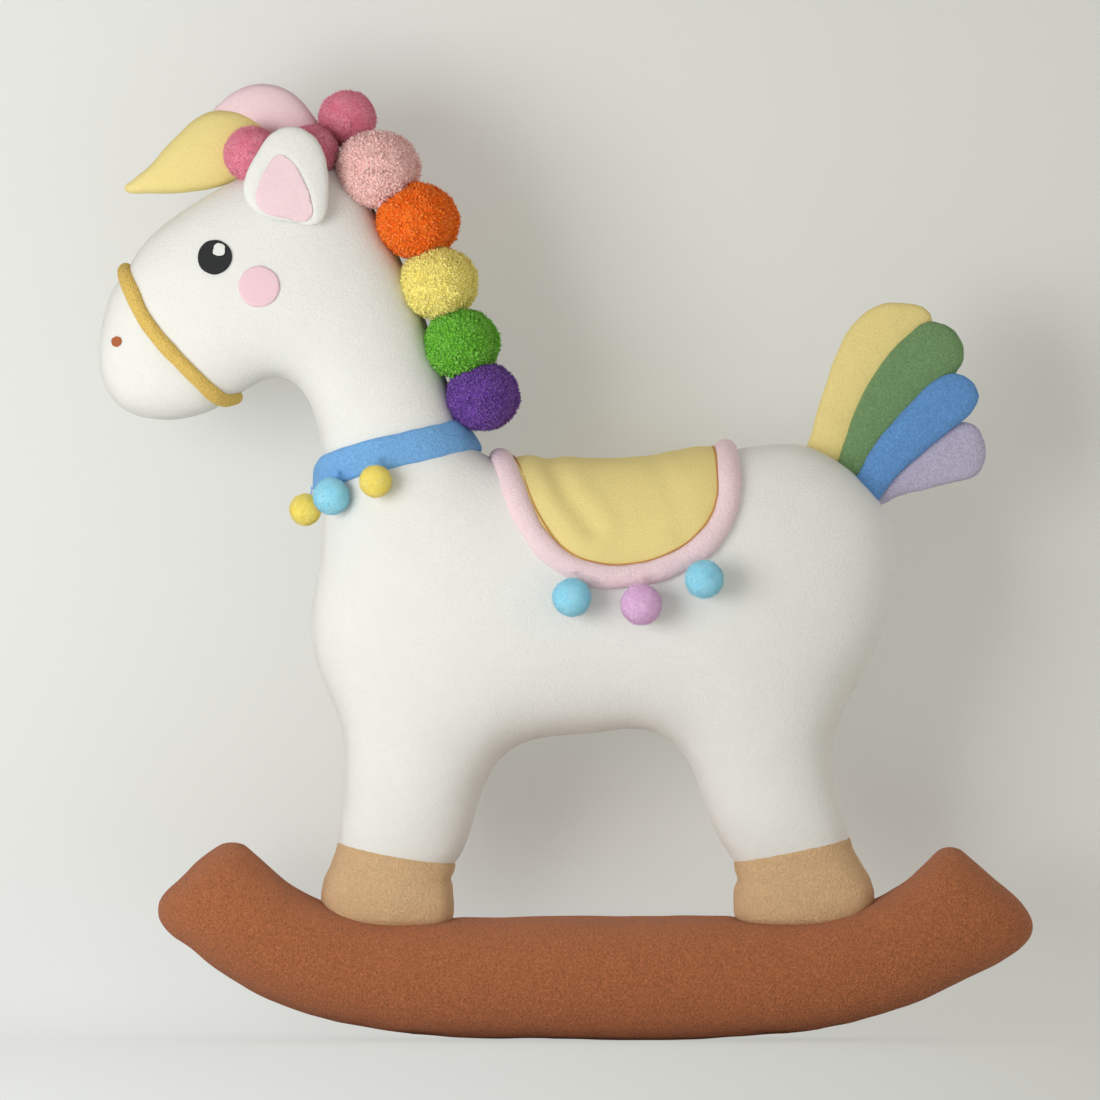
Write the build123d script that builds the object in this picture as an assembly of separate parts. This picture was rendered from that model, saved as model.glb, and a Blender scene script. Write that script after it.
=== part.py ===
from build123d import *
import math
import os

# A soft rocking horse, sewn from fleece, stuffed with fibre and standing on one stuffed rocker.
# Millimetres. X runs from nose to tail, +Y to the horse's right side and +Z up. The origin is the
# middle of the rocker's flat underside. The left and right sides mirror each other.

# Cloth, thread and clearances
FLEECE = 2.5
FELT = 1.8
HIGHLIGHT_FELT = 1.2
MIDDLE_GAP = 0.4
REACH = 400

# Rocker, seen from the side: flat in the middle, swept up at both ends
ROCKER_HALF_WIDTH = 68
ROCKER_EDGE_RADIUS = 30
ROCKER_FLAT_HALF = 85
ROCKER_SOLE_RADIUS = 450
ROCKER_TOP = 97.5
ROCKER_TOP_FLAT_HALF = 150
ROCKER_TOP_RADIUS = 163
ROCKER_END_X = 348
ROCKER_HORN_X = 276
ROCKER_END_ROUND = 20
ROCKER_HORN_ROUND = 10

# Where the arcs of an oval section meet, in degrees: plump forms, petals, flat ears
PLUMP_JOIN = 45
PETAL_JOIN = 60
EAR_JOIN = 75

# Stuffed forms. Each station is its place along the form's axis, the two edges of the outline
# there, measured across the axis, and half the thickness in Y.
TRUNK = [
    (-224, 304, 342, 20),
    (-216, 274, 390, 44),
    (-196, 247, 424, 62),
    (-150, 233, 446, 75),
    (-80, 232, 452, 81),
    (0, 238, 445, 82),
    (80, 237, 453, 82),
    (150, 241, 465, 77),
    (185, 253, 453, 67),
    (207, 279, 436, 55),
    (223, 315, 420, 38),
    (231, 350, 396, 17),
]
NECK = [
    (372, -208, -105, 54),
    (421, -214, -84, 57),
    (456, -216, -94, 54),
    (484, -219, -105, 51),
    (515, -233, -116, 50),
    (554, -240, -130, 50),
    (593, -246, -144, 51),
    (643, -243, -172, 46),
    (668, -238, -187, 34),
    (681, -228, -202, 15),
]
HEAD_BASE = (-204, 655)
HEAD_AXIS = (-0.761, -0.649)
HEAD = [
    (-30, -18, 20, 14),
    (-17, -44, 40, 34),
    (10, -60, 54, 49),
    (43, -70, 60, 56),
    (82, -73, 67, 58),
    (123, -75, 71, 57),
    (149, -70, 66, 55),
    (171, -64, 60, 52),
    (195, -56, 49, 46),
    (213, -45, 33, 36),
    (226, -31, 16, 24),
    (233, -18, 0, 10),
]
FRONT_LIMB = [
    (82, -203, -114, 50),
    (105, -211, -111, 54),
    (120, -215, -112, 53),
    (138, -209, -110, 49),
    (157, -203, -101, 46),
    (185, -199, -92, 46),
    (218, -197, -77, 47),
    (262, -196, -82, 44),
    (320, -186, -108, 34),
]
REAR_LIMB = [
    (82, 114, 203, 50),
    (105, 106, 211, 54),
    (120, 108, 215, 53),
    (138, 108, 203, 49),
    (157, 97, 195, 46),
    (185, 85, 189, 46),
    (218, 68, 185, 47),
    (262, 66, 180, 44),
    (320, 90, 168, 34),
]
# The seam above each hoof, as the ends of a straight line across the leg
FRONT_HOOF_SEAM = ((-204, 155), (-111, 137))
REAR_HOOF_SEAM = ((107, 142), (197, 158))

# Saddle: outlines of one flap, from the front of the back's ridge round to the rear
SADDLE_PAD_THICKNESS = 8
SADDLE_BINDING_THICKNESS = 9
SADDLE_LID = 490
SADDLE_OUTER = [
    (-84, 458),
    (-62, 405),
    (-38, 370),
    (8, 352.5),
    (65, 362),
    (104, 398),
    (112, 445),
    (108, 471),
]
SADDLE_INNER = [
    (-64, 462),
    (-53, 422),
    (-30, 386),
    (10, 370),
    (64, 380),
    (89, 410),
    (93, 440),
    (84, 469),
]

# Bands: three points of the centre line, width and thickness
COLLAR_LINE = [(-224, 439), (-160, 460), (-92, 469)]
COLLAR_WIDTH = 25
COLLAR_THICKNESS = 5.5
NOSEBAND_LINE = [(-371, 604), (-339, 545), (-270, 494)]
NOSEBAND_WIDTH = 14.5
NOSEBAND_THICKNESS = 5
BAND_OVERRUN = 40

# Felt face: centre and radius of each patch, the same on both sides
EYE = ((-298, 611), 14)
EYE_HIGHLIGHT = ((-294.5, 617), 5)
CHEEK = ((-262, 588), 16.5)
NOSTRIL = ((-375, 545), 4.5)

# Yarn pompoms of the mane, a row on each side of the crest: centre and radius
MANE_OUT = 25
MANE = {
    "pink": ((-170, 679), 32),
    "orange": ((-140, 638), 31),
    "yellow": ((-124, 590.5), 29),
    "green": ((-105, 543), 28),
    "purple": ((-90, 502), 27),
}
# Velvety pompoms round the ears: centre, distance from the middle plane, and radius
CROWN = {
    "crown_pompoms_front": ((-269, 690), 22, 21.5),
    "crown_pompoms_rear": ((-223, 691), 22, 21.5),
    "crown_pompom_top": ((-195, 718), 0, 22.5),
}

# Petals: half width as a share of the widest, and half thickness, at shares of the length
FORELOCK_PROFILE = [
    (0, 0.6, 9),
    (0.14, 0.9, 14),
    (0.32, 1, 17),
    (0.6, 0.66, 14),
    (0.84, 0.26, 8),
    (1, 0.1, 3),
]
FORELOCK = {
    "forelock_yellow": {"base": (-274, 700), "tip": (-369, 663), "half": 29},
    "forelock_pink": {"base": (-226, 700), "tip": (-298, 736), "half": 22},
}
TAIL_PROFILE = [
    (0, 0.5, 8),
    (0.3, 0.84, 13),
    (0.6, 1, 15),
    (0.82, 0.9, 13.5),
    (0.95, 0.55, 8),
    (1, 0.25, 4),
]
TAIL_SEAM = ((165, 464), (223, 419))
TAIL_HEM_LIFT = 11.5
TAIL_HEM_RADIUS = 7
TAIL = {
    "tail_yellow": {"tip": (238, 577), "half": 24, "seam_share": (0, 0.26)},
    "tail_green": {"tip": (280, 555), "half": 23, "seam_share": (0.26, 0.52)},
    "tail_blue": {"tip": (296, 509), "half": 20, "seam_share": (0.52, 0.78)},
    "tail_lilac": {"tip": (301, 459), "half": 18, "seam_share": (0.78, 1)},
}

# Ear: an egg-shaped pad on a rolled hem, leaning in, with a lining on its outer face
EAR_BASE = (-239, 641)
EAR_OUT = 62
EAR_LEAN = 6
EAR_HEM_RADIUS = 5
EAR_HEM_HALF = 21
EAR = [
    (0, -23, 23, 5),
    (18, -33, 29, 7.5),
    (37, -35, 30, 7.5),
    (54, -26, 22, 6.5),
    (66, -14, 12, 5),
    (72, -6, 5, 3),
]
EAR_LINING = [(-20, 9), (-18, 33), (-3, 51), (10, 36), (19, 9)]
EAR_LINING_THICKNESS = 1.4

# Pompoms that hang on one stitch: centre, radius, and the compass angle that they face
THREAD_RADIUS = 0.8
THREAD_RUNNING_GAP = 0.06
HANGING_LENGTH = 4
LOOP_RADIUS = 2.2
LOOP_LENGTH = 3
LOOP_INWARD = 5
STITCH_DEPTH = 30
SADDLE_POMPOM_OUT = 103
SADDLE_POMPOMS = {
    "front": ((-20, 345.5), 14.8),
    "middle": ((33.5, 340), 15.8),
    "rear": ((82, 359.5), 14.8),
}
COLLAR_POMPOMS = {
    "left_side": ((-171.5, -78, 435), 12.5, 270),
    "left_front": ((-206, -57, 423.5), 14.2, 225),
    "middle": ((-227.5, 0, 413.5), 12.5, 180),
    "right_front": ((-206, 57, 423.5), 14.2, 135),
    "right_side": ((-171.5, 78, 435), 12.5, 90),
}
SIDES = {"left": -1, "right": 1}


def save(name, shape, count=1):
    """Write the largest solids of a shape, as many as the piece has."""
    solids = sorted(shape.solids(), key=lambda solid: solid.volume)[-count:]
    piece = solids[0] if count == 1 else Compound(children=solids)
    export_step(piece, f"parts/{name}.step")


def oval(plane, half_u, half_v, join_degrees):
    """A smooth oval of four tangent arcs, each under a half circle."""
    long, short = max(half_u, half_v), min(half_u, half_v)
    join = math.radians(join_degrees)
    centre = (long - short) / (1 + math.tan(join) - 1 / math.cos(join))
    tip_radius = long - centre
    u, v = centre + tip_radius * math.cos(join), tip_radius * math.sin(join)
    if half_u < half_v:
        u, v = v, u
    points = [(u, -v), (half_u, 0), (u, v), (0, half_v), (-u, v), (-half_u, 0), (-u, -v), (0, -half_v)]
    arcs = [ThreePointArc(points[i], points[i + 1], points[(i + 2) % 8]) for i in range(0, 8, 2)]
    return plane * make_face(Curve() + arcs)


def stuffed(stations, base=(0, 0), axis=(1, 0), grow=0, join_degrees=PLUMP_JOIN):
    """A swelling form lofted through ovals square to an axis in the XZ plane, larger all round by grow."""
    along = Vector(axis[0], 0, axis[1])
    across = Vector(-axis[1], 0, axis[0]) if axis[0] > 0 else Vector(axis[1], 0, -axis[0])
    sections = []
    for index, (place, low, high, half_thickness) in enumerate(stations):
        end = -1 if index == 0 else 1 if index == len(stations) - 1 else 0
        origin = Vector(base[0], 0, base[1]) + along * (place + end * grow) + across * ((low + high) / 2)
        plane = Plane(origin, x_dir=across, z_dir=along)
        sections.append(oval(plane, (high - low) / 2 + grow, half_thickness + grow, join_degrees))
    return loft(sections, ruled=True)


def upright(stations, grow=0):
    """A stuffed form whose stations are heights, with front and back edges measured along X."""
    return stuffed(stations, axis=(0, 1), grow=grow)


def petal(profile, base, tip, half):
    """A flat stuffed petal in the middle plane, from its base to its tip."""
    reach = Vector(tip[0] - base[0], tip[1] - base[1])
    axis = reach.normalized()
    stations = [(share * reach.length, -width * half, width * half, thick) for share, width, thick in profile]
    return stuffed(stations, base, (axis.X, axis.Y), join_degrees=PETAL_JOIN)


def prism(outline, half_width=REACH):
    """An outline drawn in XZ, drawn out to both sides of the middle plane."""
    return extrude(Plane((0, 0, 0), x_dir=(1, 0, 0), z_dir=(0, -1, 0)) * outline, half_width, both=True)


def ball(centre, radius):
    """A ball with its poles facing the two sides of the horse."""
    return Pos(*centre) * Rot(90, 0, 0) * Sphere(radius)


def rod(start, end, radius):
    """A round rod from one point to another."""
    direction = Vector(end) - Vector(start)
    return extrude(Plane(start, z_dir=direction) * Circle(radius), direction.length)


def pair_of_balls(centre, out, radius):
    """One ball on each side of the middle plane, kept apart there."""
    space = 4 * REACH
    pair = {}
    for side, sign in SIDES.items():
        own_half = Pos(0, sign * (space + MIDDLE_GAP) / 2, 0) * Box(space, space, space)
        pair[side] = ball((centre[0], sign * out, centre[1]), radius) & own_half
    return pair


def trimmed(shape, *neighbours):
    """What is left of a piece where its neighbours don't reach, taken one at a time."""
    for neighbour in neighbours:
        shape = max((shape - neighbour).solids(), key=lambda solid: solid.volume)
    return shape


def below(seam):
    """Everything under a straight seam drawn across a leg."""
    start, end = Vector(*seam[0]), Vector(*seam[1])
    spare = (end - start) * 0.5
    corners = [start - spare, end + spare, Vector(end.X + spare.X, 0), Vector(start.X - spare.X, 0)]
    return prism(make_face(Polyline(*corners, close=True)))


def rocker_solid(inset=0):
    """The rocker as a bolster: its side outline drawn out across the horse, with rounded long edges."""
    sole_run, top_run = ROCKER_END_X - ROCKER_FLAT_HALF, ROCKER_HORN_X - ROCKER_TOP_FLAT_HALF
    end_z = ROCKER_SOLE_RADIUS - math.sqrt(ROCKER_SOLE_RADIUS**2 - sole_run**2)
    horn_z = ROCKER_TOP + ROCKER_TOP_RADIUS - math.sqrt(ROCKER_TOP_RADIUS**2 - top_run**2)
    flat, end = Vector(ROCKER_FLAT_HALF, 0), Vector(ROCKER_END_X, end_z)
    horn, top = Vector(ROCKER_HORN_X, horn_z), Vector(ROCKER_TOP_FLAT_HALF, ROCKER_TOP)

    def front(point):
        return Vector(-point.X, point.Y)

    edges = [
        Line(front(flat), flat),
        RadiusArc(flat, end, -ROCKER_SOLE_RADIUS),
        Line(end, horn),
        RadiusArc(horn, top, ROCKER_TOP_RADIUS),
        Line(top, front(top)),
        RadiusArc(front(top), front(horn), ROCKER_TOP_RADIUS),
        Line(front(horn), front(end)),
        RadiusArc(front(end), front(flat), -ROCKER_SOLE_RADIUS),
    ]
    outline = make_face(Curve() + edges)
    for corner, radius in ((end, ROCKER_END_ROUND), (horn, ROCKER_HORN_ROUND)):
        pair = [v for v in outline.vertices() if abs(abs(v.X) - corner.X) < 1 and abs(v.Y - corner.Y) < 1]
        outline = fillet(pair, radius)
    if inset:
        outline = offset(outline, -inset)
    block = prism(outline, ROCKER_HALF_WIDTH - inset)
    return fillet(block.faces().filter_by(Axis.Y).edges(), ROCKER_EDGE_RADIUS - inset)


def flap(points):
    """A saddle outline: a smooth curve through points, closed straight across over the back."""
    first, last = points[0], points[-1]
    lid = Polyline(last, (last[0], SADDLE_LID), (first[0], SADDLE_LID), first)
    return prism(make_face(Curve() + [Spline(*points), lid]))


def band(centre_line, width):
    """A curved strip of steady width along an arc, run on straight past both ends."""
    arc = ThreePointArc(*centre_line)
    ends = [(arc @ 0, arc % 0 * -BAND_OVERRUN), (arc @ 1, arc % 1 * BAND_OVERRUN)]
    strip = trace(Curve() + [arc] + [Line(point, point + run) for point, run in ends], width)
    return prism(strip.face())


def round_patches(outer, inner, centre, radius):
    """Round pieces of felt on both sides of a form, between two of its skins."""
    punch = Pos(centre[0], 0, centre[1]) * Rot(90, 0, 0) * Cylinder(radius, 2 * REACH)
    return (outer & punch) - inner


def make_rocker():
    rocker, filling = rocker_solid(), rocker_solid(FLEECE)
    save("rocker_cover", rocker - filling)
    save("rocker_filling", filling)
    return rocker


def make_body(rocker):
    """The trunk, neck, head and legs: a fleece cover and a fibre filling each, cut by the larger forms."""
    trunk, trunk_filling = (stuffed(TRUNK, grow=grow) for grow in (0, -FLEECE))
    head, head_filling = (stuffed(HEAD, HEAD_BASE, HEAD_AXIS, grow) for grow in (0, -FLEECE))
    neck, neck_filling = (upright(NECK, grow) for grow in (0, -FLEECE))
    save("trunk_cover", trunk - trunk_filling)
    save("trunk_filling", trunk_filling)
    save("head_cover", head - head_filling)
    save("head_filling", head_filling)
    save("neck_cover", (neck - trunk - head) - neck_filling)
    save("neck_filling", neck_filling - trunk - head)
    for name, stations, seam in (("front", FRONT_LIMB, FRONT_HOOF_SEAM), ("rear", REAR_LIMB, REAR_HOOF_SEAM)):
        limb, filling = upright(stations), upright(stations, -FLEECE)
        hoof = below(seam)
        save(f"{name}_leg_cover", (limb - trunk - hoof) - filling)
        save(f"{name}_hoof_cover", ((limb & hoof) - rocker) - filling)
        save(f"{name}_leg_filling", filling - trunk - rocker)
    return trunk, neck, head


def make_saddle(trunk, neck):
    outer, inner = flap(SADDLE_OUTER), flap(SADDLE_INNER)
    pad = (stuffed(TRUNK, grow=SADDLE_PAD_THICKNESS) & inner) - trunk
    binding = (stuffed(TRUNK, grow=SADDLE_BINDING_THICKNESS) & (outer - inner)) - trunk - neck
    save("saddle_pad", pad)
    save("saddle_binding", binding)


def make_bands(trunk, neck, head):
    collar = (upright(NECK, COLLAR_THICKNESS) & band(COLLAR_LINE, COLLAR_WIDTH)) - neck - trunk
    swollen_head = stuffed(HEAD, HEAD_BASE, HEAD_AXIS, NOSEBAND_THICKNESS)
    noseband = (swollen_head & band(NOSEBAND_LINE, NOSEBAND_WIDTH)) - head
    save("collar", collar)
    save("noseband", noseband)
    return collar


def make_face_patches(head):
    felt = stuffed(HEAD, HEAD_BASE, HEAD_AXIS, FELT)
    second_felt = stuffed(HEAD, HEAD_BASE, HEAD_AXIS, FELT + HIGHLIGHT_FELT)
    save("eyes", round_patches(felt, head, *EYE), 2)
    save("eye_highlights", round_patches(second_felt, felt, *EYE_HIGHLIGHT), 2)
    save("cheeks", round_patches(felt, head, *CHEEK), 2)
    save("nostrils", round_patches(felt, head, *NOSTRIL), 2)


def make_mane_and_crown(head, neck, collar):
    """Yarn pompoms down the crest and velvety ones round the ears, each pressed against the one before it."""
    carriers = {"pink": [head, neck], "orange": [head, neck], "purple": [neck, collar]}
    placed = {side: [] for side in SIDES}
    for colour, (centre, radius) in MANE.items():
        balls = pair_of_balls(centre, MANE_OUT, radius)
        cutters = carriers.get(colour, [neck])
        cut = [trimmed(balls[side], *cutters, *placed[side]) for side in SIDES]
        placed = {side: [balls[side]] for side in SIDES}
        save(f"mane_pompoms_{colour}", Compound(children=cut), 2)
    first = pair_of_balls(MANE["pink"][0], MANE_OUT, MANE["pink"][1])
    crown = []
    for name, (centre, out, radius) in CROWN.items():
        if out:
            balls = list(pair_of_balls(centre, out, radius).values())
        else:
            balls = [ball((centre[0], 0, centre[1]), radius)]
        cut = [trimmed(piece, head, neck, *first.values(), *crown) for piece in balls]
        save(name, Compound(children=cut), len(cut))
        crown.extend(balls)
    return crown


def make_forelock(head, crown):
    """Two stuffed petals: the yellow one lies on the forehead, the pink one rises behind it."""
    yellow = petal(FORELOCK_PROFILE, **FORELOCK["forelock_yellow"])
    pink = petal(FORELOCK_PROFILE, **FORELOCK["forelock_pink"])
    save("forelock_yellow", trimmed(yellow, head, *crown))
    save("forelock_pink", trimmed(pink, head, yellow, *crown))


def make_ears():
    """Each ear turns on its rolled hem, so the hem is round about the line that the ear is sewn along."""
    base_x, base_z = EAR_BASE
    pad = stuffed(EAR, axis=(0, 1), join_degrees=EAR_JOIN)
    raised = stuffed(EAR, axis=(0, 1), grow=EAR_LINING_THICKNESS, join_degrees=EAR_JOIN)
    hem = Rot(0, 90, 0) * Cylinder(EAR_HEM_RADIUS, 2 * EAR_HEM_HALF)
    outer_half = Pos(0, -REACH / 2, 0) * Box(REACH, REACH, REACH)
    outline = make_face(Spline(*EAR_LINING, periodic=True))
    lining = ((raised & prism(outline)) - pad) & outer_half
    left = Pos(base_x, -EAR_OUT, base_z) * Rot(-EAR_LEAN, 0, 0)
    pieces = {"ear": left * (pad + hem), "ear_lining": left * lining}
    for name, piece in pieces.items():
        save(f"left_{name}", piece)
        save(f"right_{name}", mirror(piece, Plane.XZ))


def make_tail():
    """A fan of four petals on one hem; each nearer petal of the fan presses into the one it covers."""
    start, end = Vector(*TAIL_SEAM[0]), Vector(*TAIL_SEAM[1])
    along = (end - start).normalized()
    lift = Vector(-along.Y, along.X) * TAIL_HEM_LIFT
    petals, hems = {}, {}
    for name, size in TAIL.items():
        ends = [start + lift + along * ((end - start).length * share) for share in size["seam_share"]]
        base = (ends[0] + ends[1]) * 0.5
        petals[name] = petal(TAIL_PROFILE, (base.X, base.Y), size["tip"], size["half"])
        hems[name] = rod(*[(point.X, 0, point.Y) for point in ends], TAIL_HEM_RADIUS)
    covers = {
        "tail_yellow": ["tail_green"],
        "tail_green": ["tail_blue"],
        "tail_blue": [],
        "tail_lilac": ["tail_blue"],
    }
    for name, nearer in covers.items():
        others = [hem for other, hem in hems.items() if other != name]
        whole = trimmed(petals[name], *others) + hems[name]
        save(name, trimmed(whole, *[petals[other] for other in nearer]))


def hanging_pompom(centre, radius, facing):
    """A pompom with a thread loop, and the stitch that it hangs on."""
    outward = Vector(math.cos(math.radians(facing)), math.sin(math.radians(facing)), 0)
    pivot = Vector(centre) + Vector(0, 0, radius + HANGING_LENGTH) - outward * LOOP_INWARD
    half_loop = outward * (LOOP_LENGTH / 2)
    loop = rod(pivot - half_loop, pivot + half_loop, LOOP_RADIUS)
    bore = rod(pivot - outward * radius, pivot + outward * radius, THREAD_RADIUS + THREAD_RUNNING_GAP)
    pompom = (ball(centre, radius) + rod(centre, pivot, THREAD_RADIUS) + loop) - bore
    stitch = rod(pivot - outward * STITCH_DEPTH, pivot + outward * LOOP_LENGTH, THREAD_RADIUS)
    return pompom, stitch


def make_hanging_pompoms():
    """Small pompoms along the saddle and the collar, and the stitches that reach into the cloth."""
    saddle_core = stuffed(TRUNK, grow=SADDLE_BINDING_THICKNESS / 2)
    collar_core = upright(NECK, COLLAR_THICKNESS / 2)
    saddle_stitches, collar_stitches = [], []
    for side, sign in SIDES.items():
        for place, ((x, z), radius) in SADDLE_POMPOMS.items():
            pompom, stitch = hanging_pompom((x, sign * SADDLE_POMPOM_OUT, z), radius, sign * 90)
            save(f"saddle_pompom_{side}_{place}", pompom)
            saddle_stitches.append((stitch - saddle_core).solids()[0])
    for place, (centre, radius, facing) in COLLAR_POMPOMS.items():
        pompom, stitch = hanging_pompom(centre, radius, facing)
        save(f"collar_pompom_{place}", pompom)
        collar_stitches.append((stitch - collar_core).solids()[0])
    save("saddle_stitches", Compound(children=saddle_stitches), len(saddle_stitches))
    save("collar_stitches", Compound(children=collar_stitches), len(collar_stitches))


def main():
    os.makedirs("parts", exist_ok=True)
    rocker = make_rocker()
    trunk, neck, head = make_body(rocker)
    make_saddle(trunk, neck)
    collar = make_bands(trunk, neck, head)
    make_face_patches(head)
    crown = make_mane_and_crown(head, neck, collar)
    make_forelock(head, crown)
    make_ears()
    make_tail()
    make_hanging_pompoms()


if __name__ == "__main__":
    main()
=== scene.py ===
import bmesh
import bpy
import math
import random
import numpy as np
from mathutils import Matrix, Vector, noise
from mathutils.bvhtree import BVHTree


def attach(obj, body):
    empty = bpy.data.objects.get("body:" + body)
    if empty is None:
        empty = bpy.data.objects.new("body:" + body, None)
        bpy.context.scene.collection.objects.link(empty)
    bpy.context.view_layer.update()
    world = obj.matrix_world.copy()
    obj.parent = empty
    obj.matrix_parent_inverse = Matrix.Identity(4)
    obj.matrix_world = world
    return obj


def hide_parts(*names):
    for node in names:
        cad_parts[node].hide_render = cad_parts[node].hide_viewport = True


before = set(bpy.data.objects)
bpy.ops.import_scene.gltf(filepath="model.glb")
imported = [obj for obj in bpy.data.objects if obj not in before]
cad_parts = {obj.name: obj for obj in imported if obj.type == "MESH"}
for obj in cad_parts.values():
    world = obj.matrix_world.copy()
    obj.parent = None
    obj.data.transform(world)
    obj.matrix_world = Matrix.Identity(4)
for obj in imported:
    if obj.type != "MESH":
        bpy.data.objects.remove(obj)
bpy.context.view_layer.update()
scene = bpy.context.scene
MM = 0.001


# The rocker is a long flat bolster of brown fleece, two equal panels sewn round their edge and stuffed
# firm, so its long sides are nearly flat and its edges round. The hooves are sewn to its top.
def linear(red, green, blue):
    """A display colour of 0 to 255 as linear light."""
    shares = [c / 255 for c in (red, green, blue)]
    return [c / 12.92 if c <= 0.04045 else ((c + 0.055) / 1.055) ** 2.4 for c in shares] + [1.0]


def shaded(colour, share):
    """A colour made darker or paler by a share."""
    return [min(1.0, c * share) for c in colour[:3]] + [1.0]


def node(tree, kind, **values):
    """A shader node with its input values set by name."""
    made = tree.nodes.new("ShaderNode" + kind)
    for name, value in values.items():
        made.inputs[name.replace("_", " ")].default_value = value
    return made


def mixed(tree, share, first, second):
    """Two colours mixed by a share; each may be a value or a socket."""
    mix = tree.nodes.new("ShaderNodeMix")
    mix.data_type = "RGBA"
    for socket, value in ((mix.inputs[0], share), (mix.inputs[6], first), (mix.inputs[7], second)):
        if isinstance(value, bpy.types.NodeSocket):
            tree.links.new(value, socket)
        else:
            socket.default_value = value
    return mix.outputs[2]


def spread(tree, value, low, high):
    """A value stretched so that low becomes 0 and high becomes 1."""
    step = node(tree, "MapRange", From_Min=low, From_Max=high)
    tree.links.new(value, step.inputs["Value"])
    return step.outputs["Result"]


def matt(name, colour, sheen):
    """A rough cloth shader of one colour with a sheen of the same tone, and its node tree."""
    material = bpy.data.materials.new(name)
    material.use_nodes = True
    shader = material.node_tree.nodes["Principled BSDF"]
    shader.inputs["Roughness"].default_value = 0.95
    shader.inputs["Specular IOR Level"].default_value = 0.12
    shader.inputs["Sheen Weight"].default_value = sheen
    shader.inputs["Sheen Roughness"].default_value = 0.45
    shader.inputs["Sheen Tint"].default_value = [c + (1 - c) * 0.3 for c in colour]
    shader.inputs["Base Color"].default_value = colour
    return material, material.node_tree, shader


def fleece(name, colour, relief_shade_and_highlight=0.1, clump=2.0, raised=1.0, sheen=0.15, nubs=0):
    """Brushed fleece: a short pile in clumps, or in nubs of some millimetres, with painted shade between
    them and a painted highlight on their raised tips.
    """
    material, tree, shader = matt(name, colour, sheen)
    place = tree.nodes.new("ShaderNodeTexCoord").outputs["Object"]
    fine = node(tree, "TexNoise", Scale=2400 / clump, Detail=2.0, Roughness=0.7)
    broad = node(tree, "TexNoise", Scale=28.0, Detail=2.0)
    if nubs:
        pile = node(tree, "TexVoronoi", Scale=1000 / nubs)
        relief = spread(tree, pile.outputs["Distance"], 0.75, 0.1)
    else:
        pile = node(tree, "TexNoise", Scale=1000 / clump, Detail=2.0, Roughness=0.55, Distortion=0.6)
        relief = spread(tree, pile.outputs["Fac"], 0.3, 0.68)
    for texture in (pile, fine, broad):
        tree.links.new(place, texture.inputs["Vector"])
    patches = spread(tree, broad.outputs["Fac"], 0.3, 0.7)
    base = mixed(tree, patches, shaded(colour, 0.98), shaded(colour, 1.03))
    # Painted shade: the colour is darker where the relief of the pile is low, between clumps.
    tone = mixed(tree, relief, shaded(colour, 1 - relief_shade_and_highlight * 1.6), base)
    # Painted highlight: the pile is paler where the fine noise raises its tips.
    tips = mixed(tree, spread(tree, fine.outputs["Fac"], 0.56, 0.78), tone, shaded(colour, 1 + relief_shade_and_highlight))
    tree.links.new(tips, shader.inputs["Base Color"])
    height = node(tree, "Math")
    height.operation = "MULTIPLY_ADD"
    height.inputs[1].default_value = 0.35
    tree.links.new(fine.outputs["Fac"], height.inputs[0])
    tree.links.new(relief, height.inputs[2])
    bump = node(tree, "Bump", Strength=0.9, Distance=raised * MM)
    tree.links.new(height.outputs[0], bump.inputs["Height"])
    tree.links.new(bump.outputs["Normal"], shader.inputs["Normal"])
    return material


def worked_in(obj):
    """Turns an object's modifiers into its mesh."""
    bpy.context.view_layer.update()
    seen = obj.evaluated_get(bpy.context.evaluated_depsgraph_get())
    made = bpy.data.meshes.new_from_object(seen)
    obj.modifiers.clear()
    obj.data = made


def remeshed(obj, voxel):
    """Gives an object an even skin of small squares."""
    step = obj.modifiers.new("even", "REMESH")
    step.mode = "VOXEL"
    step.voxel_size = voxel * MM
    worked_in(obj)


def points_of(mesh):
    """The places of a mesh's points, one row each."""
    places = np.empty(len(mesh.vertices) * 3)
    mesh.vertices.foreach_get("co", places)
    return places.reshape(-1, 3)


def normals_of(mesh):
    """The outward direction at each point of a mesh."""
    return np.array([v.normal for v in mesh.vertices])


def move_points(mesh, places):
    """Puts the points of a mesh at new places."""
    mesh.vertices.foreach_set("co", np.asarray(places, float).ravel())
    mesh.update()


def smooth(bm, rounds):
    """Draws each point of a skin towards its neighbours."""
    axes = {"use_axis_x": True, "use_axis_y": True, "use_axis_z": True}
    for _ in range(rounds):
        bmesh.ops.smooth_vert(bm, verts=bm.verts, factor=0.5, **axes)


def relaxed(obj, rounds):
    """Smooths the skin of an object."""
    bm = bmesh.new()
    bm.from_mesh(obj.data)
    smooth(bm, rounds)
    bm.to_mesh(obj.data)
    bm.free()
    obj.data.update()


def new_object(name, bm):
    """A bmesh as an object of the scene, with its faces turned outwards."""
    bmesh.ops.recalc_face_normals(bm, faces=bm.faces)
    mesh = bpy.data.meshes.new(name)
    bm.to_mesh(mesh)
    bm.free()
    obj = bpy.data.objects.new(name, mesh)
    scene.collection.objects.link(obj)
    return obj


def dressed(obj, material, body, replaced=(), rounds=1):
    """Finishes a piece: smooth shading, one subdivision, its cloth, and the body that it rides on."""
    obj.data.materials.clear()
    obj.data.materials.append(material)
    obj.data.polygons.foreach_set("use_smooth", [True] * len(obj.data.polygons))
    if rounds:
        step = obj.modifiers.new("round", "SUBSURF")
        step.levels = step.render_levels = rounds
    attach(obj, body)
    if replaced:
        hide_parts(*replaced)
    return obj


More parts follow.
